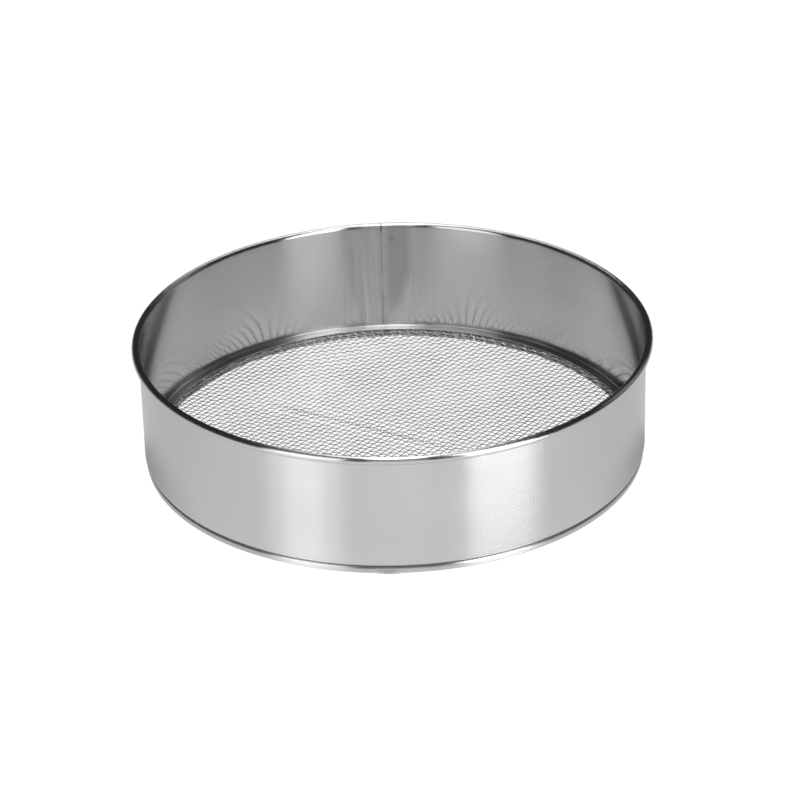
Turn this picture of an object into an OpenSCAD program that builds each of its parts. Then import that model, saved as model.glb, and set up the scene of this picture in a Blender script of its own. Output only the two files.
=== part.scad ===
// A tamis: a flat drum sieve of thin stainless sheet with a woven wire mesh clamped across its foot.
// The drum stands on the ground plane, its axis on Z. Sizes are in millimetres, angles in degrees.
// Angles round the drum are counted from +X, counter-clockwise seen from above; -Y is the front.

/* [Drum] */
// Diameter over the rolled rim
rim_diameter = 305; // [180:1:420]
// Height from the foot to the top of the rim
drum_height = 75.6; // [45:0.1:120]
// Thickness of the drum's sheet
sheet = 0.5; // [0.3:0.05:0.8]
// Diameter of the wire that the rim is rolled round
rim_wire_d = 3.5; // [2.4:0.1:5]
// Clearance all round the wire inside the rolled rim
rim_wire_gap = 0.05; // [0.02:0.01:0.1]
// How far the rim's sheet is rolled round the wire
rim_roll = 310; // [250:5:315]
// Open butt joint between the ends of the rim wire
wire_joint = 0.6; // [0.3:0.1:2]

/* [Ledge] */
// How far the ledge reaches in from the drum's inner face
ledge_width = 5.5; // [5.2:0.1:12]
// Inside radius of the bend from the drum's wall into the ledge
ledge_bend = 1; // [0.3:0.05:2]

/* [Mesh] */
// Diameter of the mesh wire
wire_d = 0.68; // [0.3:0.01:1.1]
// Spacing of the warp wires
warp_pitch = 3.61; // [1.6:0.01:8]
// Spacing of the weft wires
weft_pitch = 3.75; // [1.6:0.01:8]
// Direction in which the warp wires run
warp_angle = 54.5; // [0:0.5:180]
// Direction in which the weft wires run
weft_angle = 150; // [0:0.5:180]
// How far the cut wire ends stay inside the foot of the ring's bead
mesh_inset = 0.1; // [0.05:0.05:1]
// Clearance above and below the clamped mesh
clamp_gap = 0.02; // [0:0.01:0.1]

/* [Bottom ring] */
// Thickness of the ring's sheet
ring_sheet = 0.6; // [0.4:0.05:0.9]
// Height of the ring's upper flange, which the mesh lies on
seat_height = 3.45; // [2.8:0.05:8]
// How far the ring's web stands inside the drum's outer face
ring_inset = 0.75; // [0.3:0.05:1.5]
// How far the bead along the flange's outer side rises above the flange
bead_rise = 0.55; // [0.2:0.05:0.6]
// Inside radius of the shoulder from the bead down to the web
shoulder_bend = 0.9; // [0.5:0.05:1.1]
// Inside radius of the bead's inner side
bead_bend = 0.1; // [0.05:0.05:0.3]
// Inside radius of the dip from the bead to the flange
dip_bend = 0.3; // [0.1:0.05:0.5]
// Inside radius of the bend from the web to the foot
foot_bend = 0.2; // [0.1:0.05:1]

/* [Joints] */
// Place of the drum's side seam round the drum
seam_angle = 92; // [0:1:359]
// Width of the seam's weld bead
seam_width = 1.2; // [0.8:0.1:3]
// How far the weld bead stands proud of the sheet on each side
seam_crown = 0.12; // [0.05:0.01:0.3]
// Place of the bottom ring's lap joint round the drum
lap_angle = 268; // [0:1:359]
// Length of the lap joint
lap_length = 13; // [8:0.5:30]
// How far the lap stops below the ring's shoulder
lap_drop = 0.3; // [0.1:0.1:0.6]
// Diameter of the lap's spot welds
lap_spot_d = 1.2; // [0.8:0.1:1.4]
// Number of spot welds that hold the ring to the drum
clamp_welds = 24; // [8:1:48]
// Diameter of the spot welds that hold the ring
spot_d = 2.4; // [1.5:0.1:2.6]

/* [Hidden] */
$fn = 180;

// The rolled rim, whose inner side is flush with the drum's inner face
roll_inner = rim_wire_d / 2 + rim_wire_gap;
roll_outer = roll_inner + sheet;
wall_in = rim_diameter / 2 - 2 * roll_outer;
wall_out = wall_in + sheet;
roll_r = wall_in + roll_outer;
roll_z = drum_height - roll_outer;

// What is clamped at the foot, from the ring's flange up: the mesh and the drum's ledge
mesh_mid = seat_height + clamp_gap + wire_d;
ledge_bottom = mesh_mid + wire_d + clamp_gap;
ledge_top = ledge_bottom + sheet;
wall_foot = ledge_top + ledge_bend;
ledge_in = wall_in - ledge_width;

// The ring: a channel that opens inward, whose flanges end under the ledge's edge
ring_in = ledge_in;
ring_out = wall_out - ring_inset;
shoulder = shoulder_bend + ring_sheet;
bead_side = bead_bend + ring_sheet;
foot_corner = foot_bend + ring_sheet;
bead_r = ring_out - shoulder;
bead_top = seat_height + bead_rise;
web_top = bead_top - shoulder;

// The bead comes down to the flange in a crown and a dip that meet at one slope
bead_slope = acos(1 - bead_rise / (bead_side + dip_bend));
dip_r = bead_r - (bead_side + dip_bend) * sin(bead_slope);
spot_r = (ring_in + dip_r) / 2;

// The mesh is cut to a disc that ends where the ring's bead begins
mesh_r = dip_r - mesh_inset;

// The side seam's weld shows between the bend at the foot and the rolled rim
seam_low = wall_foot + sheet;
seam_high = roll_z - sheet;

// The lap: the end of the ring's strip, lying on the outside of its beginning
lap_out = ring_out + ring_sheet;
lap_top = web_top - lap_drop;
lap_bend = foot_corner;
lap_sweep = lap_length / ring_out * 180 / PI;
lap_spot_depth = 0.15;

// A pie slice from one angle to another, drawn past the radius it has to cut
module slice(radius, from, to) {
    steps = ceil((to - from) / 60);
    polygon(concat([[0, 0]],
        [for (i = [0 : steps])
            let (a = from + (to - from) * i / steps)
            3 * radius * [cos(a), sin(a)]]));
}

// Sheet bent round the point (r, z), from one angle to another
module bend(r, z, inner, thick, from, to) {
    translate([r, z])
        intersection() {
            difference() {
                circle(r = inner + thick);
                circle(r = inner);
            }
            slice(inner + thick, from, to);
        }
}

// Flat sheet between two corners of the section
module flat(r0, z0, r1, z1) {
    translate([r0, z0])
        square([r1 - r0, z1 - z0]);
}

// Section of the drum's strip: rolled rim, wall, bend and ledge
module drum_section() {
    bend(roll_r, roll_z, roll_inner, sheet, 180 - rim_roll, 180);
    flat(wall_in, wall_foot, wall_out, roll_z);
    bend(wall_in - ledge_bend, wall_foot, ledge_bend, sheet, -90, 0);
    flat(ledge_in, ledge_bottom, wall_in - ledge_bend, ledge_top);
}

// The drum is one strip, open along the seam where the weld joins its ends
module drum_wall() {
    color([0.74, 0.74, 0.75])
        difference() {
            rotate_extrude()
                drum_section();
            rotate(seam_angle)
                translate([wall_in - sheet, -seam_width / 2, seam_low])
                    cube([3 * sheet, seam_width, seam_high - seam_low]);
        }
}

// The wire inside the rolled rim, bent to a ring with its ends butted opposite the seam
module rim_wire() {
    open_sweep = wire_joint / roll_r * 180 / PI;
    color([0.6, 0.6, 0.62])
        rotate(seam_angle + 180 + open_sweep / 2)
            rotate_extrude(angle = 360 - open_sweep)
                translate([roll_r, roll_z])
                    circle(d = rim_wire_d);
}

// The weld bead fills the gap between the strip's ends, crowned on both faces
module side_seam_weld() {
    half = seam_width / 2;
    crown_r = (half * half + seam_crown * seam_crown) / (2 * seam_crown);
    crown_offset = crown_r - seam_crown - sheet / 2;
    color([0.55, 0.5, 0.46])
        rotate(seam_angle)
            translate([wall_in + sheet / 2, 0, seam_low])
                linear_extrude(height = seam_high - seam_low)
                    intersection() {
                        translate([-crown_offset, 0])
                            circle(r = crown_r);
                        translate([crown_offset, 0])
                            circle(r = crown_r);
                        square([3 * sheet, seam_width], center = true);
                    }
}

// Parallel straight wires that fill the mesh disc at one height
module wire_layer(pitch, angle, z) {
    last = floor((mesh_r - pitch) / pitch);
    rotate(angle)
        for (i = [-last : last]) {
            length = 2 * sqrt(mesh_r * mesh_r - pow(i * pitch, 2));
            translate([-length / 2, i * pitch, z])
                rotate([0, 90, 0])
                    cylinder(h = length, d = wire_d);
        }
}

module mesh_warp_wires() {
    color([0.7, 0.7, 0.71])
        wire_layer(warp_pitch, warp_angle, mesh_mid + wire_d / 2);
}

module mesh_weft_wires() {
    color([0.66, 0.66, 0.68])
        wire_layer(weft_pitch, weft_angle, mesh_mid - wire_d / 2);
}

// Section of the ring's strip: foot, web, shoulder, bead and the flange under the mesh
module ring_section() {
    flat(ring_in, 0, ring_out - foot_corner, ring_sheet);
    bend(ring_out - foot_corner, foot_corner, foot_bend, ring_sheet, -90, 0);
    flat(ring_out - ring_sheet, foot_corner, ring_out, web_top);
    bend(bead_r, web_top, shoulder_bend, ring_sheet, 0, 90);
    bend(bead_r, bead_top - bead_side, bead_bend, ring_sheet, 90, 90 + bead_slope);
    bend(dip_r, seat_height + dip_bend, dip_bend, ring_sheet, -90, bead_slope - 90);
    translate([dip_r, seat_height - ring_sheet])
        mirror([1, 0])
            square([dip_r - ring_in, ring_sheet]);
}

// Section of the lap: outside the web and round the foot's corner
module lap_section() {
    flat(ring_out - ring_sheet / 2, lap_bend, lap_out, lap_top);
    flat(ring_out - foot_corner, 0, lap_out - lap_bend, ring_sheet);
    translate([lap_out - lap_bend, lap_bend])
        intersection() {
            circle(r = lap_bend);
            translate([0, -lap_bend])
                square(lap_bend);
        }
}

// The ring with its lap, which the lap's spot welds are sunk into
module bottom_ring() {
    color([0.7, 0.7, 0.72])
        difference() {
            union() {
                rotate_extrude()
                    ring_section();
                rotate(lap_angle - lap_sweep / 2)
                    rotate_extrude(angle = lap_sweep)
                        lap_section();
            }
            lap_spots();
        }
}

// Spot welds through the mesh, between the ring's flange and the drum's ledge
module clamp_spot_welds() {
    color([0.5, 0.47, 0.45])
        for (i = [0 : clamp_welds - 1])
            rotate(seam_angle + (i + 0.5) * 360 / clamp_welds)
                translate([spot_r, 0, seat_height])
                    cylinder(h = ledge_bottom - seat_height, d = spot_d);
}

// Two spots on the lap, one each side of its middle
module lap_spots() {
    for (side = [-1, 1])
        rotate(lap_angle + side * lap_sweep / 4)
            translate([lap_out - lap_spot_depth, 0, (lap_bend + lap_top) / 2])
                rotate([0, 90, 0])
                    cylinder(h = 2 * lap_spot_depth, d = lap_spot_d);
}

// Two spot welds that close the ring's lap
module lap_spot_welds() {
    color([0.5, 0.47, 0.45])
        lap_spots();
}

drum_wall();
rim_wire();
side_seam_weld();
mesh_warp_wires();
mesh_weft_wires();
bottom_ring();
clamp_spot_welds();
lap_spot_welds();
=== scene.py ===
# A tamis: a flat drum sieve of brushed stainless sheet, with a crimped wire mesh clamped across its foot.
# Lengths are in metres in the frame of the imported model; angles round the drum are counted from +X.
import math

import bmesh
import bpy
from mathutils import Matrix, Vector, noise


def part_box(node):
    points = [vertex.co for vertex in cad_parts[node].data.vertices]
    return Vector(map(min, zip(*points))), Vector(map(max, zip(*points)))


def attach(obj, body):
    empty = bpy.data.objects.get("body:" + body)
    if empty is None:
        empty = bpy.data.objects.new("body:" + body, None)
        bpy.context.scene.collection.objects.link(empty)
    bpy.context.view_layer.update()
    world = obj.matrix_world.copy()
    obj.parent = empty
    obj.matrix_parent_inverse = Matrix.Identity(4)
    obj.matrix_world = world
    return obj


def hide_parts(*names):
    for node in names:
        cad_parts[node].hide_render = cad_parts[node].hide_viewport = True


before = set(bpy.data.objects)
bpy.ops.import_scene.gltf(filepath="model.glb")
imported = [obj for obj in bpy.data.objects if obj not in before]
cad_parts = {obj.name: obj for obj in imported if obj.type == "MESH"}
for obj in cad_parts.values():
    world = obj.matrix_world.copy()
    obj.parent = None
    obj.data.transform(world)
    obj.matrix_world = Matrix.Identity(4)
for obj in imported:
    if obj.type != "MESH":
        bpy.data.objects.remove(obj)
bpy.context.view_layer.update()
mm = 0.001


# THE DRUM
# One strip of thin stainless sheet, bent to a hoop. Its upper edge is rolled outward round a wire and
# its lower edge is turned in to a ledge. The finish is a satin brushing that runs along the strip, so it
# circles the drum and follows the sheet round the rim and the ledge.
low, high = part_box("drum_wall")
rim_radius = min(high[0] - low[0], high[1] - low[1]) / 2
rim_top = high[2]
ledge_bottom = low[2]
sheet = 0.5 * mm
roll_radius = 2.3 * mm
roll_end = -130
wall_inner = rim_radius - 2 * roll_radius
roll_centre = (wall_inner + roll_radius, rim_top - roll_radius)
ledge_top = ledge_bottom + sheet
ledge_width = 5.5 * mm
ledge_bend = 1.0 * mm
seam_angle = 92.0
seam_gap = 0.25 * mm
around = 512


def arc(centre, radius, start, end, steps):
    """Points of an arc in the (radius, height) section, from one angle in degrees to another."""
    turns = [math.radians(start + (end - start) * i / steps) for i in range(steps + 1)]
    return [(centre[0] + radius * math.cos(t), centre[1] + radius * math.sin(t)) for t in turns]


def strip_outline(path, thickness):
    """The closed outline of a sheet whose middle follows the path, its edges rounded, with a place along it."""
    half = thickness / 2
    along = [0.0]
    for a, b in zip(path, path[1:]):
        along.append(along[-1] + math.dist(a, b))
    sides = ([], [])
    for i, (r, z) in enumerate(path):
        before, after = path[max(i - 1, 0)], path[min(i + 1, len(path) - 1)]
        heading_here = math.atan2(after[1] - before[1], after[0] - before[0])
        across = (math.sin(heading_here), -math.cos(heading_here))
        for side, sign in zip(sides, (1, -1)):
            side.append((r + sign * across[0] * half, z + sign * across[1] * half, along[i]))
    edges = []
    for i, inner in ((len(path) - 1, len(path) - 2), (0, 1)):
        end, inside = path[i], path[inner]
        outward = math.atan2(end[1] - inside[1], end[0] - inside[0])
        turned = [outward + math.pi * (k / 6 - 0.5) for k in range(1, 6)]
        edges.append([(end[0] + half * math.cos(t), end[1] + half * math.sin(t), along[i]) for t in turned])
    return sides[0] + edges[0] + sides[1][::-1] + edges[1]


def spin(name, outline, steps, start=0.0, sweep=360.0, waver=None):
    """Sweep a closed outline round the drum's axis. UV holds the place along the strip and across it, in metres."""
    mesh = bpy.data.meshes.new(name)
    form = bmesh.new()
    layer = form.loops.layers.uv.new("strip")
    whole = sweep >= 360.0
    rings = []
    for i in range(steps if whole else steps + 1):
        turn = math.radians(start + sweep * i / steps)
        ring = []
        for r, z, _ in outline:
            move_r, move_z = waver(turn, r, z) if waver else (0.0, 0.0)
            ring.append(form.verts.new(((r + move_r) * math.cos(turn), (r + move_r) * math.sin(turn), z + move_z)))
        rings.append(ring)
    count = len(outline)
    mean = sum(r for r, _, _ in outline) / count
    for i in range(steps):
        first, second = rings[i], rings[(i + 1) % len(rings)]
        for j in range(count):
            k = (j + 1) % count
            face = form.faces.new((first[j], second[j], second[k], first[k]))
            face.smooth = True
            for loop, (step, point) in zip(face.loops, ((i, j), (i + 1, j), (i + 1, k), (i, k))):
                loop[layer].uv = (math.radians(sweep * step / steps) * mean, outline[point][2])
    if not whole:
        for end in (rings[0], rings[-1][::-1]):
            for edge in form.faces.new(end).edges:
                edge.smooth = False
    bmesh.ops.recalc_face_normals(form, faces=form.faces)
    form.to_mesh(mesh)
    form.free()
    piece = bpy.data.objects.new(name, mesh)
    bpy.context.scene.collection.objects.link(piece)
    return piece


middle = wall_inner + sheet / 2
turn_in = ledge_bend + sheet / 2
ledge_mid = ledge_top - sheet / 2
ledge_edge = wall_inner - ledge_width + sheet / 2
roll_mid = roll_radius - sheet / 2
wall_steps = 24
ledge_steps = 8
drum_path = arc(roll_centre, roll_mid, roll_end, 180, 44)
wall_low = ledge_mid + turn_in
for i in range(1, wall_steps):
    drum_path.append((middle, roll_centre[1] + (wall_low - roll_centre[1]) * i / wall_steps))
drum_path += arc((middle - turn_in, wall_low), turn_in, 0, -90, 10)
for i in range(1, ledge_steps + 1):
    drum_path.append((middle - turn_in + (ledge_edge - middle + turn_in) * i / ledge_steps, ledge_mid))


def hand_made(turn, r, z):
    """The small unevenness of a hoop rolled from thin sheet, which the rim and the ledge hold round."""
    held = math.sin(math.pi * min(max((z - ledge_top) / (rim_top - 2 * roll_radius - ledge_top), 0), 1))
    swell = 0.06 * mm * noise.noise(Vector((3.1 * math.cos(turn), 3.1 * math.sin(turn), 18 * z)))
    ripple = 0.02 * mm * noise.noise(Vector((9 * math.cos(turn), 9 * math.sin(turn), 40 * z + 7)))
    return held * (swell + ripple), 0.0


gap_turn = math.degrees(seam_gap / wall_inner)
drum = spin(
    "drum_strip", strip_outline(drum_path, sheet), around, seam_angle + gap_turn / 2, 360 - gap_turn, hand_made
)


def new_material(name):
    """An empty material with its node tree, shader and output."""
    material = bpy.data.materials.new(name)
    material.use_nodes = True
    tree = material.node_tree
    return material, tree, tree.nodes["Principled BSDF"]


def node(tree, kind, **settings):
    """A node of one kind, with properties set by name and inputs by in_ and their name."""
    made = tree.nodes.new(kind)
    for key, value in settings.items():
        if not key.startswith("in_"):
            setattr(made, key, value)
    for key, value in settings.items():
        if key.startswith("in_"):
            socket = made.inputs[int(key[3:])] if key[3:].isdigit() else made.inputs[key[3:].replace("_", " ")]
            if isinstance(value, bpy.types.NodeSocket):
                tree.links.new(value, socket)
            else:
                socket.default_value = value
    return made


def maths(tree, operation, a, b=0.0, clamp=False):
    """The result of one operation on two numbers or sockets."""
    return node(tree, "ShaderNodeMath", operation=operation, use_clamp=clamp, in_0=a, in_1=b).outputs[0]


def product(tree, first, *others):
    """Several numbers or sockets multiplied together."""
    for other in others:
        first = maths(tree, "MULTIPLY", first, other)
    return first


def stretched_noise(tree, place, scale, detail=2.0, offset=(0.0, 0.0, 0.0)):
    """Noise over places scaled by its own number along each axis."""
    mapping = node(tree, "ShaderNodeMapping", in_Vector=place)
    mapping.inputs["Scale"].default_value = scale
    mapping.inputs["Location"].default_value = offset
    return node(
        tree, "ShaderNodeTexNoise", in_Vector=mapping.outputs[0], in_Scale=1.0, in_Detail=detail
    ).outputs["Fac"]


def between(tree, value, low_in, high_in, low_out, high_out):
    """A number carried from one range to another, held at the ends."""
    scaled = node(tree, "ShaderNodeMapRange", in_0=value, in_1=low_in, in_2=high_in, in_3=low_out, in_4=high_out)
    return scaled.outputs[0]


def away_from(tree, value, centre):
    """How far a number is from a centre, on either side."""
    return maths(tree, "ABSOLUTE", maths(tree, "SUBTRACT", value, centre))


def flat_distance(tree, x, y):
    """The length of a flat offset given by its two parts."""
    offset = node(tree, "ShaderNodeCombineXYZ", in_0=x)
    tree.links.new(y, offset.inputs[1])
    return node(tree, "ShaderNodeVectorMath", operation="LENGTH", in_0=offset.outputs[0]).outputs["Value"]


def blend_colour(tree, amount, a, b):
    """One colour turning into another."""
    mixed = node(tree, "ShaderNodeMix", data_type="RGBA", in_0=amount)
    for socket, value in ((mixed.inputs[6], a), (mixed.inputs[7], b)):
        if isinstance(value, bpy.types.NodeSocket):
            tree.links.new(value, socket)
        else:
            socket.default_value = (*value, 1.0)
    return mixed.outputs[2]


def brushed_sheet(name, light, dark, rough_low, rough_high, marks=None, pressed_below=0.0):
    """Stainless sheet brushed along the strip: long fine lines across which the light spreads."""
    material, tree, shader = new_material(name)
    place = node(tree, "ShaderNodeUVMap", uv_map="strip").outputs[0]
    lines = stretched_noise(tree, place, (18.0, 9000.0, 1.0), 3.0)
    clouds = stretched_noise(tree, place, (14.0, 30.0, 1.0), 3.0, (11.0, 2.0, 0.0))
    tone = maths(tree, "ADD", product(tree, lines, 0.4), product(tree, clouds, 0.6))
    colour = blend_colour(tree, between(tree, tone, 0.35, 0.65, 0.0, 1.0), dark, light)
    if marks:
        colour = marks(tree, colour)
    tree.links.new(colour, shader.inputs["Base Color"])
    wear = maths(tree, "ADD", product(tree, lines, 0.5), product(tree, clouds, 0.5))
    rough = between(tree, wear, 0.3, 0.7, rough_low, rough_high)
    if pressed_below:
        x, y, height = node(
            tree, "ShaderNodeSeparateXYZ", in_0=node(tree, "ShaderNodeTexCoord").outputs["Object"]
        ).outputs
        pressed = between(tree, height, pressed_below, pressed_below + 0.5 * mm, 0.26, 0.0)
        inside = maths(tree, "LESS_THAN", flat_distance(tree, x, y), middle)
        less_rubbed = product(tree, inside, between(tree, height, 12 * mm, 46 * mm, -0.085, 0.0))
        rough = maths(tree, "ADD", rough, maths(tree, "ADD", pressed, less_rubbed))
    tree.links.new(rough, shader.inputs["Roughness"])
    bump = node(tree, "ShaderNodeBump", in_Strength=0.1, in_Distance=0.004 * mm, in_Height=lines)
    tree.links.new(bump.outputs[0], shader.inputs["Normal"])
    tangent = node(tree, "ShaderNodeTangent", direction_type="UV_MAP", uv_map="strip")
    tree.links.new(tangent.outputs[0], shader.inputs["Tangent"])
    shader.inputs["Metallic"].default_value = 1.0
    shader.inputs["Anisotropic"].default_value = 1.0
    shader.inputs["Anisotropic Rotation"].default_value = 0.25
    return material


def seam_marks_and_notch_shade(tree, colour):
    """What the welding left on the sheet: straw and brown heat colour at the seam, and a dull rubbed patch; also
    painted shade, tinted brown, where the rolled edge is notched.
    """
    place = node(tree, "ShaderNodeTexCoord").outputs["Object"]
    turn = math.radians(seam_angle)
    beside = node(tree, "ShaderNodeVectorMath", operation="DOT_PRODUCT", in_0=place)
    beside.inputs[1].default_value = (math.sin(turn), -math.cos(turn), 0.0)
    beside = beside.outputs["Value"]
    from_seam = maths(tree, "ABSOLUTE", beside)
    _, depth, height = node(tree, "ShaderNodeSeparateXYZ", in_0=place).outputs
    at_back = between(tree, depth, 0.0, 0.1, 0.0, 1.0)

    # Heat colour, strongest in the lower third
    near = between(tree, from_seam, 0.3 * mm, 3.5 * mm, 1.0, 0.0)
    patchy = stretched_noise(tree, place, (260.0, 260.0, 90.0), 3.0)
    hottest = between(tree, height, 22 * mm, 34 * mm, 1.0, 0.25)
    colour = blend_colour(tree, product(tree, near, patchy, at_back, hottest, 0.6), colour, (0.36, 0.29, 0.24))

    # The dark edge of the weld on one side, broken into drops, and painted shade, tinted brown, where the notch in
    # the rolled edge is too narrow to show
    edge_starts = between(tree, beside, -1.1 * mm, -0.4 * mm, 0.0, 1.0)
    edge_stops = between(tree, beside, 0.0, 0.2 * mm, 1.0, 0.0)
    upper = between(tree, height, 20 * mm, 32 * mm, 0.6, 1.0)
    drops = stretched_noise(tree, place, (300.0, 300.0, 420.0), 2.0, (4.0, 1.0, 7.0))
    drops = between(tree, drops, 0.4, 0.6, 0.35, 1.0)
    undercut = product(tree, edge_starts, edge_stops, upper, drops, at_back, 0.75)
    colour = blend_colour(tree, undercut, colour, (0.27, 0.25, 0.24))
    # Painted shade, tinted brown, on the rolled edge at the seam, standing in for the dark of the notch
    painted_notch_shade = between(tree, from_seam, 0.4 * mm, 1.1 * mm, 0.85, 0.0)
    on_rim = between(tree, height, rim_top - 5.5 * mm, rim_top - 4.5 * mm, 0.0, 1.0)
    colour = blend_colour(tree, product(tree, painted_notch_shade, on_rim, at_back), colour, (0.21, 0.16, 0.135))

    # The patch that was rubbed down beside the weld, narrower toward the ledge
    reach = between(tree, height, 8 * mm, 44 * mm, 9.5 * mm, 20 * mm)
    start = between(tree, beside, 0.0, 5 * mm, 0.0, 1.0)
    stop = between(tree, maths(tree, "SUBTRACT", beside, reach), -5 * mm, 0.0, 1.0, 0.0)
    ends = between(tree, height, 8 * mm, 26 * mm, 0.0, 1.0)
    colour = blend_colour(tree, product(tree, start, stop, ends, at_back, 0.9), colour, (0.395, 0.385, 0.375))

    def upright_rub(centre, low, high, tone):
        """A narrow upright stroke left by the grinder beside the seam."""
        width = between(tree, away_from(tree, beside, centre), 0.3 * mm, 1.8 * mm, 1.0, 0.0)
        foot = between(tree, height, low, low + 8 * mm, 0.0, 1.0)
        head = between(tree, height, high - 8 * mm, high, 1.0, 0.0)
        return blend_colour(tree, product(tree, width, foot, head, at_back, 0.5), colour, tone)

    dull, bright = (0.43, 0.42, 0.415), (0.66, 0.655, 0.65)
    colour = upright_rub(-18.5 * mm, 22 * mm, 64 * mm, dull)
    colour = upright_rub(-13 * mm, 2 * mm, 40 * mm, dull)
    colour = upright_rub(-9.5 * mm, 2 * mm, 34 * mm, bright)

    # Faint upright streaks on both sides, and one small dark spot
    upright = stretched_noise(tree, place, (420.0, 30.0, 16.0), 3.0)
    around_seam = between(tree, from_seam, 14 * mm, 34 * mm, 1.0, 0.0)
    streaks = product(tree, between(tree, upright, 0.45, 0.65, 0.0, 0.45), around_seam, ends, at_back)
    colour = blend_colour(tree, streaks, colour, (0.44, 0.43, 0.42))
    spot_beside, spot_height = 6.4 * mm, 66 * mm
    from_spot = flat_distance(
        tree, maths(tree, "SUBTRACT", beside, spot_beside), maths(tree, "SUBTRACT", height, spot_height)
    )
    spot = product(tree, between(tree, from_spot, 0.8 * mm, 2.0 * mm, 0.6, 0.0), at_back)
    return blend_colour(tree, spot, colour, (0.25, 0.24, 0.23))


drum_light, drum_dark = (0.565, 0.557, 0.55), (0.535, 0.528, 0.522)
drum.data.materials.append(
    brushed_sheet("brushed_drum_sheet", drum_light, drum_dark, 0.205, 0.23, seam_marks_and_notch_shade, ledge_top + 0.4 * mm)
)
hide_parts("drum_wall")
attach(drum, "root")


# THE RIM WIRE
# A round steel wire bent to a ring, which the upper edge of the sheet is rolled round. Its butted ends
# lie opposite the seam, and it shows only in the slot under the rolled edge.
wire_radius = 1.75 * mm
wire_joint = 0.6 * mm
joint_turn = math.degrees(wire_joint / roll_centre[0])
wire_outline = [(r, z, i * 0.3 * mm) for i, (r, z) in enumerate(arc(roll_centre, wire_radius, 0, 360, 24)[:-1])]
rim_wire = spin(
    "rim_wire_ring", wire_outline, 360, seam_angle + 180 + joint_turn / 2, 360 - joint_turn
)


def drawn_wire(name, light, dark, rough_low, rough_high):
    """Bright wire drawn through a die: faint tone changes and fine lengthwise marks."""
    material, tree, shader = new_material(name)
    place = node(tree, "ShaderNodeTexCoord").outputs["Object"]
    tone = stretched_noise(tree, place, (60.0, 60.0, 60.0), 3.0)
    marks = stretched_noise(tree, place, (900.0, 900.0, 900.0), 2.0, (1.0, 2.0, 3.0))
    tree.links.new(
        blend_colour(tree, between(tree, tone, 0.35, 0.65, 0.0, 1.0), dark, light), shader.inputs["Base Color"]
    )
    tree.links.new(between(tree, marks, 0.3, 0.7, rough_low, rough_high), shader.inputs["Roughness"])
    bump = node(tree, "ShaderNodeBump", in_Strength=0.15, in_Distance=0.01 * mm, in_Height=marks)
    tree.links.new(bump.outputs[0], shader.inputs["Normal"])
    shader.inputs["Metallic"].default_value = 1.0
    return material


rim_wire.data.materials.append(drawn_wire("drawn_rim_wire", (0.5, 0.5, 0.51), (0.4, 0.4, 0.41), 0.3, 0.45))
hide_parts("rim_wire")
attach(rim_wire, "root")


# THE SIDE SEAM
# A weld bead that joins the two ends of the drum's strip, low and a little uneven on both faces. It runs
# from the ledge to the rim, and stops short of the rolled edge, where the ends leave a notch; the notch's dark is
# painted shade on the sheet.
seam_crown = 0.12 * mm
drop_pitch = 1.8 * mm
bead_low = ledge_top + 0.3 * mm
bead_high = roll_centre[1] + 0.8 * mm
bead_steps = 150
bead_sides = 16


def weld_bead(name, low_z, high_z):
    """A vertical bead, oval in plan, whose width and crown ripple with each drop of weld metal."""
    mesh = bpy.data.meshes.new(name)
    form = bmesh.new()
    turn = math.radians(seam_angle)
    rows = []
    for i in range(bead_steps + 1):
        z = low_z + (high_z - low_z) * i / bead_steps
        drop = abs(math.sin(z / (drop_pitch / 2) * math.pi / 2))
        loose = noise.noise(Vector((z * 260, 3.3, 1.0)))
        sunk = min(max((z - ledge_top - 20 * mm) / (8 * mm), 0), 1)
        half = seam_gap / 2 + 0.02 * mm + (0.05 * mm * drop + 0.04 * mm * loose) * (1 - sunk)
        crown = 0.2 + 0.25 * drop + 0.3 * noise.noise(Vector((z * 420, 1.7, 2.0))) - 0.6 * sunk
        thick = sheet / 2 + seam_crown * crown
        wander = 0.05 * mm * noise.noise(Vector((z * 90, 8.1, 4.0))) * (1 - sunk)
        row = []
        for j in range(bead_sides):
            a = 2 * math.pi * j / bead_sides
            out = middle + thick * math.copysign(abs(math.cos(a)) ** 0.7, math.cos(a))
            side = wander + half * math.sin(a)
            row.append(form.verts.new((
                out * math.cos(turn) - side * math.sin(turn), out * math.sin(turn) + side * math.cos(turn), z
            )))
        rows.append(row)
    for first, second in zip(rows, rows[1:]):
        for j in range(bead_sides):
            k = (j + 1) % bead_sides
            form.faces.new((first[j], first[k], second[k], second[j])).smooth = True
    form.faces.new(rows[0][::-1])
    form.faces.new(rows[-1])
    bmesh.ops.recalc_face_normals(form, faces=form.faces)
    form.to_mesh(mesh)
    form.free()
    piece = bpy.data.objects.new(name, mesh)
    bpy.context.scene.collection.objects.link(piece)
    return piece


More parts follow.
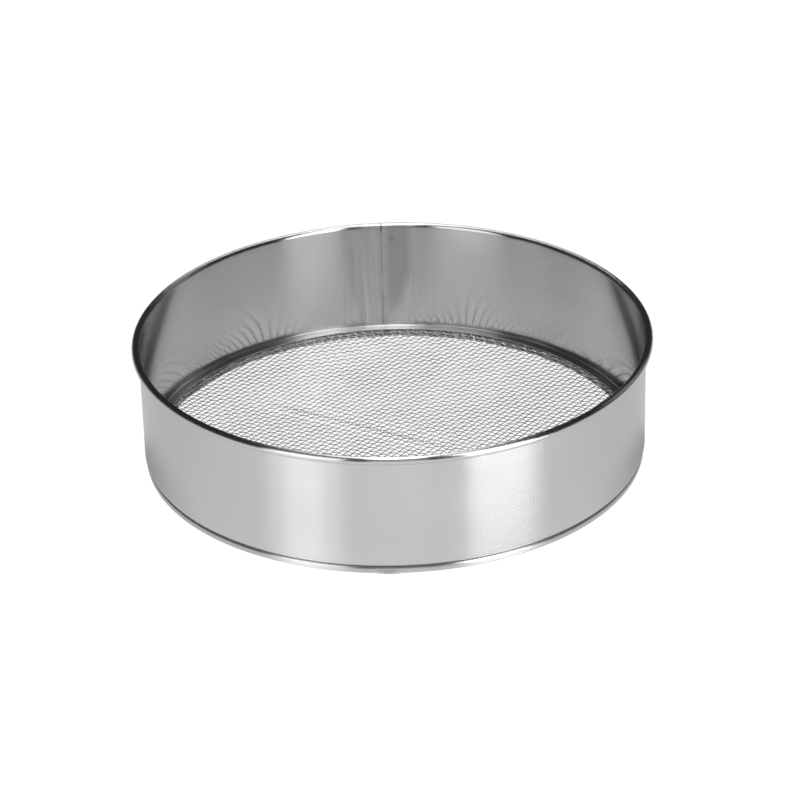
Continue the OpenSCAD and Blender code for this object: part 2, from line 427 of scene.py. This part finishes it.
def weld_metal(name):
    """Dull weld metal, stained brown in patches by the heat and greyer toward the rim."""
    material, tree, shader = new_material(name)
    place = node(tree, "ShaderNodeTexCoord").outputs["Object"]
    patches = stretched_noise(tree, place, (500.0, 500.0, 180.0), 3.0)
    grain = stretched_noise(tree, place, (3000.0, 3000.0, 3000.0), 2.0)
    stained = between(tree, patches, 0.35, 0.65, 0.0, 1.0)
    low = blend_colour(tree, stained, (0.32, 0.27, 0.23), (0.50, 0.48, 0.46))
    upper = blend_colour(tree, stained, (0.42, 0.42, 0.42), (0.66, 0.66, 0.665))
    height = node(tree, "ShaderNodeSeparateXYZ", in_0=place).outputs[2]
    colour = blend_colour(tree, between(tree, height, 24 * mm, 34 * mm, 0.0, 1.0), low, upper)
    tree.links.new(colour, shader.inputs["Base Color"])
    tree.links.new(between(tree, grain, 0.3, 0.7, 0.38, 0.6), shader.inputs["Roughness"])
    bump = node(tree, "ShaderNodeBump", in_Strength=0.4, in_Distance=0.03 * mm, in_Height=grain)
    tree.links.new(bump.outputs[0], shader.inputs["Normal"])
    shader.inputs["Metallic"].default_value = 1.0
    return material


seam = weld_bead("side_seam_bead", bead_low, bead_high)
weld = weld_metal("heat_stained_weld")
seam.data.materials.append(weld)
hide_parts("side_seam_weld")
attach(seam, "root")


# THE MESH
# Stainless wires woven over and under each other, each wire crimped where it crosses the next. The cloth
# is cut to a disc that lies under the ledge, on the bottom ring's flange. The warp stays nearly straight
# and the weft bends over it. The weave is skewed and drifts, and two weft wires crowd together in a line.
wire_thickness = 0.68 * mm
mesh_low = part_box("mesh_weft_wires")[0][2]
mesh_level = mesh_low + wire_thickness
mesh_radius = 145.15 * mm
warp_pitch = 3.61 * mm
weft_pitch = 3.75 * mm
warp_angle = 54.5
weft_angle = 150.0
sides_of_wire = 6
samples_per_pitch = 4


def heading(angle):
    """The unit direction of an angle in degrees, on the ground plane."""
    return Vector((math.cos(math.radians(angle)), math.sin(math.radians(angle)), 0))


warp_way, weft_way = heading(warp_angle), heading(weft_angle)
across_warp, across_weft = heading(warp_angle + 90), heading(weft_angle - 90)
clamp_start = 142 * mm
clamped_crimp = wire_thickness / 2
warp_crimp = 0.14 * mm
weft_crimp = wire_thickness - warp_crimp
crowded_from, crowded_to = -40 * mm, 95 * mm


def drift(point):
    """How far the cloth has slipped and sagged at a point."""
    hold = max(0.0, 1.0 - (point.length / (mesh_radius - 4 * mm)) ** 6)
    slip_x = 0.9 * mm * noise.noise(Vector((point.x * 9, point.y * 9, 0.4)))
    slip_y = 0.9 * mm * noise.noise(Vector((point.x * 9, point.y * 9, 5.9)))
    sag = 0.35 * mm * noise.noise(Vector((point.x * 14, point.y * 14, 9.2))) - 0.25 * mm
    return Vector((slip_x, slip_y, sag)) * hold


def crowding(count, along):
    """How far a weft wire has slid toward its neighbour, along the crowded line."""
    inside = min(max((along - crowded_from) / (18 * mm), 0), 1) * min(max((crowded_to - along) / (18 * mm), 0), 1)
    fade = {0: 0.30, 1: 0.24, 2: -0.32, 3: -0.38, 4: -0.15}.get(count, 0.0)
    return weft_pitch * fade * inside * (0.8 + 0.5 * noise.noise(Vector((along * 60, 2.2, 3.3))))


def weave(name, way, across, pitch, other_across, other_pitch, crimp_height, first, last):
    """Crimped parallel wires, from one count across the cloth to another, as tubes."""
    mesh = bpy.data.meshes.new(name)
    points, faces = [], []
    for i in range(first, last + 1):
        offset = i * pitch
        half = math.sqrt(mesh_radius**2 - offset**2)
        steps = max(4, round(2 * half / pitch * samples_per_pitch))
        ring_start = len(points)
        for step in range(steps + 1):
            place = across * offset + way * (-half + 2 * half * step / steps)
            count = place.dot(other_across) / other_pitch
            if way == weft_way:
                place = place + across * crowding(i, place.dot(way))
            flat = min(max((clamp_start - place.length) / (3 * mm), 0), 1)
            height = clamped_crimp + (abs(crimp_height) - clamped_crimp) * flat
            crimp = math.copysign(height, crimp_height) * math.cos(math.pi * count) * (-1) ** i
            middle_point = place + drift(place) + Vector((0, 0, mesh_level + crimp))
            for corner in range(sides_of_wire):
                a = 2 * math.pi * (corner + 0.5) / sides_of_wire
                points.append(
                    middle_point + wire_thickness / 2 * (across * math.cos(a) + Vector((0, 0, math.sin(a))))
                )
        for step in range(steps):
            for corner in range(sides_of_wire):
                a = ring_start + step * sides_of_wire + corner
                b = ring_start + step * sides_of_wire + (corner + 1) % sides_of_wire
                faces.append((a, b, b + sides_of_wire, a + sides_of_wire))
        faces.append(tuple(ring_start + corner for corner in reversed(range(sides_of_wire))))
        end = ring_start + steps * sides_of_wire
        faces.append(tuple(end + corner for corner in range(sides_of_wire)))
    mesh.from_pydata(points, [], faces)
    form = bmesh.new()
    form.from_mesh(mesh)
    bmesh.ops.recalc_face_normals(form, faces=form.faces)
    form.to_mesh(mesh)
    form.free()
    mesh.shade_smooth()
    piece = bpy.data.objects.new(name, mesh)
    bpy.context.scene.collection.objects.link(piece)
    return piece


mesh_wire = drawn_wire("drawn_mesh_wire", (0.54, 0.535, 0.53), (0.42, 0.415, 0.41), 0.16, 0.3)
for family, way, across, pitch, other, other_pitch, crimp_height in (
    ("warp", warp_way, across_warp, warp_pitch, across_weft, weft_pitch, warp_crimp),
    ("weft", weft_way, across_weft, weft_pitch, across_warp, warp_pitch, -weft_crimp),
):
    last_wire = math.floor((mesh_radius - pitch) / pitch)
    for part, first, last in (("a", -last_wire, -1), ("b", 0, last_wire)):
        wires = weave(
            f"mesh_{family}_wires_{part}", way, across, pitch, other, other_pitch, crimp_height, first, last
        )
        wires.data.materials.append(mesh_wire)
        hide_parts(f"mesh_{family}_wires")
        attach(wires, "root")


# THE BOTTOM RING
# A channel rolled from stainless strip, open toward the drum's axis. Its upper flange carries the mesh
# and is spot-welded through it to the ledge; the bead round that flange rises outside the wires' cut
# ends and turns down in a round shoulder to the web, which stands a little inside the drum's face.
ring_sheet = 0.6 * mm
bead_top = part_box("bottom_ring")[1][2]
ring_inner = wall_inner - ledge_width
ring_outer = wall_inner + sheet - 0.75 * mm
seat = mesh_low - 0.02 * mm
half_ring = ring_sheet / 2
shoulder_bend, bead_bend, dip_bend, foot_bend = 0.9 * mm, 0.1 * mm, 0.3 * mm, 0.2 * mm
foot_corner = foot_bend + ring_sheet
bead_side = bead_bend + ring_sheet
bead_centre = ring_outer - shoulder_bend - ring_sheet
web_top = bead_top - shoulder_bend - ring_sheet
slope = math.degrees(math.acos(1 - (bead_top - seat) / (bead_side + dip_bend)))
dip_centre = (bead_centre - (bead_side + dip_bend) * math.sin(math.radians(slope)), seat + dip_bend)
web_steps = 4
ring_path = [(ring_inner + half_ring, half_ring), (ring_inner + 2 * mm, half_ring)]
ring_path += arc((ring_outer - foot_corner, foot_corner), foot_corner - half_ring, -90, 0, 8)
for i in range(1, web_steps):
    ring_path.append((ring_outer - half_ring, foot_corner + (web_top - foot_corner) * i / web_steps))
ring_path += arc((bead_centre, web_top), shoulder_bend + half_ring, 0, 90, 16)
ring_path += arc((bead_centre, bead_top - bead_side), bead_side - half_ring, 90, 90 + slope, 8)[1:]
ring_path += arc(dip_centre, dip_bend + half_ring, slope - 90, -90, 8)[1:]
ring_path += [(ring_inner + 1.5 * mm, seat - half_ring), (ring_inner + half_ring, seat - half_ring)]
ring = spin("bottom_ring_channel", strip_outline(ring_path, ring_sheet), around)
ring_finish = brushed_sheet("brushed_ring_sheet", (0.58, 0.575, 0.57), (0.53, 0.525, 0.52), 0.28, 0.31)
ring.data.materials.append(ring_finish)

lap_angle = 268.0
lap_length = 13 * mm
lap_taper = 5.5 * mm
lap_sweep = math.degrees(lap_length / ring_outer)
lap_outer = ring_outer + ring_sheet
lap_high = web_top - 0.3 * mm
lap_corner = 0.3 * mm
lap_lift = 0.01 * mm
lap_outline = [(ring_outer - half_ring, lap_high, 0.0)]
for i in range(7):
    lap_outline.append((ring_outer + ring_sheet * i / 6, lap_high + (lap_corner - lap_high) * i / 6, 0.0))
lap_outline += [(r, z, 0.0) for r, z in arc((lap_outer - lap_corner, lap_corner), lap_corner, -12, -90, 6)]
lap_outline.append((ring_outer - foot_corner, 0.0, 0.0))


def lap_fullness(turn):
    """How much of the lap's thickness is left: it is hammered thin toward both ends and runs out on the web."""
    place = abs(math.degrees(turn) - lap_angle) / lap_sweep * 2
    full = min(max((1 - place) * lap_length / 2 / lap_taper, 0.02), 1)
    return full * full * (3 - 2 * full)


def thinned(turn, r, z):
    """The lap's outer face, brought in to what is left of its thickness, and its underside held off the table."""
    return min(ring_outer - r, 0.0) * (1 - lap_fullness(turn)), lap_lift * (z < lap_lift)


lap = spin("bottom_ring_lap", lap_outline, 40, lap_angle - lap_sweep / 2, lap_sweep, thinned)
lap.data.materials.append(ring_finish)
for piece in (ring, lap):
    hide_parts("bottom_ring")
    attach(piece, "root")


# THE SPOT WELDS
# Two pressed marks close the ring's lap, ground nearly flush with it. The others hold the ring to the
# ledge through the mesh, out of sight between the two sheets.
spot_radius = 0.6 * mm
spot_height = 1.2 * mm
spot_profile = [(0.3, 0.005), (0.6, 0.02), (0.8, 0.045), (0.92, 0.035), (1.0, -0.03)]
spot_sides = 24
marks = bpy.data.meshes.new("lap_spot_marks")
form = bmesh.new()
for side in (-1, 1):
    turn = math.radians(lap_angle + side * lap_sweep / 4)
    outward, sideways = Vector((math.cos(turn), math.sin(turn), 0)), Vector((-math.sin(turn), math.cos(turn), 0))
    proud_here = ring_sheet * lap_fullness(turn)
    slant = proud_here / (lap_high - lap_corner)
    centre = outward * (ring_outer + slant * (lap_high - spot_height)) + Vector((0, 0, spot_height))
    upward = (Vector((0, 0, 1)) - outward * slant).normalized()
    tip = form.verts.new(centre)
    circles = []
    for share, proud in spot_profile:
        circle = []
        for j in range(spot_sides):
            a = 2 * math.pi * j / spot_sides
            across = spot_radius * share * (sideways * math.cos(a) + upward * math.sin(a))
            circle.append(form.verts.new(centre + across + outward * proud * mm))
        circles.append(circle)
    for j in range(spot_sides):
        k = (j + 1) % spot_sides
        form.faces.new((tip, circles[0][j], circles[0][k])).smooth = True
        for inner_circle, outer_circle in zip(circles, circles[1:]):
            form.faces.new((inner_circle[j], outer_circle[j], outer_circle[k], inner_circle[k])).smooth = True
    form.faces.new(circles[-1][::-1])
bmesh.ops.recalc_face_normals(form, faces=form.faces)
form.to_mesh(marks)
form.free()
lap_spots = bpy.data.objects.new("lap_spot_marks", marks)
bpy.context.scene.collection.objects.link(lap_spots)
lap_spots.data.materials.append(drawn_wire("ground_spot", (0.56, 0.555, 0.55), (0.47, 0.465, 0.46), 0.34, 0.46))
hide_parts("lap_spot_welds")
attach(lap_spots, "root")
clamp_spots = bpy.data.objects["clamp_spot_welds"]
clamp_spots.data.materials.clear()
clamp_spots.data.materials.append(weld)


# THE STUDIO
# A plain white table under soft light, and the camera where the photograph was taken from: nearly two
# metres away, looking down at the open drum through a long lens.
picture = 800
focal_pixels = 3326.5
half_width = 0.1525
camera_distance = 12.894 * half_width
camera_height_angle = math.radians(28.116)
target_height = 0.22 * half_width
roll = math.radians(1.47)
turn_right = math.radians(0.107)
turn_up = math.radians(-0.08)
camera_back = camera_distance * math.cos(camera_height_angle)
camera_up = camera_distance * math.sin(camera_height_angle)
place = Vector((0, -camera_back, camera_up + target_height))
forward = Vector((0, math.cos(camera_height_angle), -math.sin(camera_height_angle)))
right = Vector((1, 0, 0))
up = right.cross(forward)
facing = Matrix((right, up, forward))
about_up = Matrix((
    (math.cos(turn_right), 0, -math.sin(turn_right)), (0, 1, 0), (math.sin(turn_right), 0, math.cos(turn_right))
))
about_right = Matrix((
    (1, 0, 0), (0, math.cos(turn_up), -math.sin(turn_up)), (0, math.sin(turn_up), math.cos(turn_up))
))
about_view = Matrix(((math.cos(roll), -math.sin(roll), 0), (math.sin(roll), math.cos(roll), 0), (0, 0, 1)))
rows = about_view @ about_right @ about_up @ facing
lens = bpy.data.cameras.new("camera")
lens.sensor_fit = "HORIZONTAL"
lens.sensor_width = 36
lens.lens = focal_pixels * lens.sensor_width / picture
lens.clip_end = 20
camera = bpy.data.objects.new("camera", lens)
columns = Matrix((rows[0], rows[1], -rows[2])).transposed()
camera.matrix_world = Matrix.Translation(place) @ columns.to_4x4()
bpy.context.scene.collection.objects.link(camera)
bpy.context.scene.camera = camera

table_mesh = bpy.data.meshes.new("table")
table_size = 6.0
table_top = -0.02 * mm
table_mesh.from_pydata(
    [(x * table_size, y * table_size, table_top) for x, y in ((-1, -1), (1, -1), (1, 1), (-1, 1))], [], [(0, 1, 2, 3)]
)
table = bpy.data.objects.new("table", table_mesh)
bpy.context.scene.collection.objects.link(table)
white, tree, shader = new_material("white_table")
tree.nodes.remove(shader)
rays = node(tree, "ShaderNodeLightPath")
seen = maths(tree, "ADD", rays.outputs["Is Camera Ray"], rays.outputs["Is Glossy Ray"], clamp=True)
seen = maths(tree, "ADD", seen, rays.outputs["Is Transmission Ray"], clamp=True)
paper = node(tree, "ShaderNodeBsdfDiffuse")
paper.inputs["Color"].default_value = (0.86, 0.86, 0.86, 1)
glow = node(tree, "ShaderNodeEmission")
glow.inputs["Color"].default_value = (0.985, 0.995, 1.0, 1)
x, y, _ = node(tree, "ShaderNodeSeparateXYZ", in_0=node(tree, "ShaderNodeTexCoord").outputs["Object"]).outputs
# Painted shade, seen only in reflections: the table's glow is made darker toward the sides and back, and close beside
# the drum's foot. This stands in for darker surroundings and for the drum's shadow on the table.
to_the_sides = between(tree, maths(tree, "ABSOLUTE", x), 0.02, 0.18, 0.05, 0.28)
to_the_back = between(tree, y, -0.22, 0.03, 0.0, 1.0)
out_from_drum = flat_distance(tree, x, y)
painted_foot_shadow = between(tree, out_from_drum, 0.157, 0.186, 0.42, 0.0)
front_limit = between(tree, y, -0.10, -0.03, 0.0, 1.0)
back_limit = between(tree, y, 0.0, 0.03, 1.0, 0.0)
outside = maths(tree, "GREATER_THAN", out_from_drum, 0.150)
close = product(tree, painted_foot_shadow, front_limit, back_limit, outside)
shade = maths(tree, "ADD", product(tree, to_the_sides, to_the_back), close)
shade = product(tree, shade, rays.outputs["Is Glossy Ray"])
tree.links.new(maths(tree, "SUBTRACT", 1.09, shade), glow.inputs["Strength"])
mixed = node(tree, "ShaderNodeMixShader")
tree.links.new(maths(tree, "MULTIPLY", seen, 0.93), mixed.inputs[0])
tree.links.new(paper.outputs[0], mixed.inputs[1])
tree.links.new(glow.outputs[0], mixed.inputs[2])
tree.links.new(mixed.outputs[0], tree.nodes["Material Output"].inputs[0])
table.data.materials.append(white)

world = bpy.data.worlds.new("studio")
bpy.context.scene.world = world
world.use_nodes = True
tree = world.node_tree
rays = node(tree, "ShaderNodeLightPath")
backdrop = tree.nodes["Background"]
backdrop.inputs["Color"].default_value = (0.03, 0.03, 0.031, 1)
bright = node(tree, "ShaderNodeBackground")
bright.inputs["Color"].default_value = (1, 1, 1, 1)
world_mix = node(tree, "ShaderNodeMixShader")
tree.links.new(rays.outputs["Is Camera Ray"], world_mix.inputs[0])
tree.links.new(backdrop.outputs[0], world_mix.inputs[1])
tree.links.new(bright.outputs[0], world_mix.inputs[2])
tree.links.new(world_mix.outputs[0], tree.nodes["World Output"].inputs[0])


def soft_box(name, place, size, radiance, aim=(0, 0, 0.04)):
    """A rectangular soft light that faces the drum, given by how bright its face is."""
    lamp = bpy.data.lights.new(name, "AREA")
    lamp.shape = "RECTANGLE"
    lamp.size, lamp.size_y = size
    lamp.energy = radiance * math.pi * size[0] * size[1]
    ob = bpy.data.objects.new(name, lamp)
    ob.location = place
    ob.rotation_euler = (Vector(aim) - Vector(place)).to_track_quat("-Z", "Y").to_euler()
    bpy.context.scene.collection.objects.link(ob)
    return ob


def front_light(name, place, width, low, high, radiance):
    """An upright soft box that faces the drum, from one height to another."""
    middle_height = (low + high) / 2
    return soft_box(name, (*place, middle_height), (width, high - low), radiance, (0, 0, middle_height))


soft_box("top_light", (0, 0.70, 1.10), (0.40, 1.20), 2.6, (0, 0.5, 0))
soft_box("overhead_light", (0, -0.10, 1.10), (0.22, 0.44), 8.0, (0, -0.10, 0))
left, right, right_upper = (-1.10, -1.424), (0.42, -0.44), (0.39, -0.47)
front_light("left_light", left, 1.03, 0.0, 2.1, 1.85)
front_light("left_light_core", left, 0.57, 0.0, 2.1, 1.95)
front_light("left_card", left, 1.0, 0.0, 0.19, 7.8)
front_light("left_card_core", left, 0.5, 0.0, 0.19, 12.5)
front_light("right_light", right_upper, 0.29, 0.0, 1.15, 4.2)
front_light("right_light_core", right_upper, 0.15, 0.0, 1.15, 4.2)
front_light("right_card", right, 0.31, 0.0, 0.055, 7.0)
front_light("right_card_core", right, 0.16, 0.0, 0.055, 9.5)
front_light("front_wall", (0.05, -2.6), 1.1, 0.0, 1.6, 0.65)
soft_box("fill_light", (0.9, 0.55, 0.60), (0.50, 0.60), 0.3)

bpy.context.scene.view_settings.view_transform = "Standard"
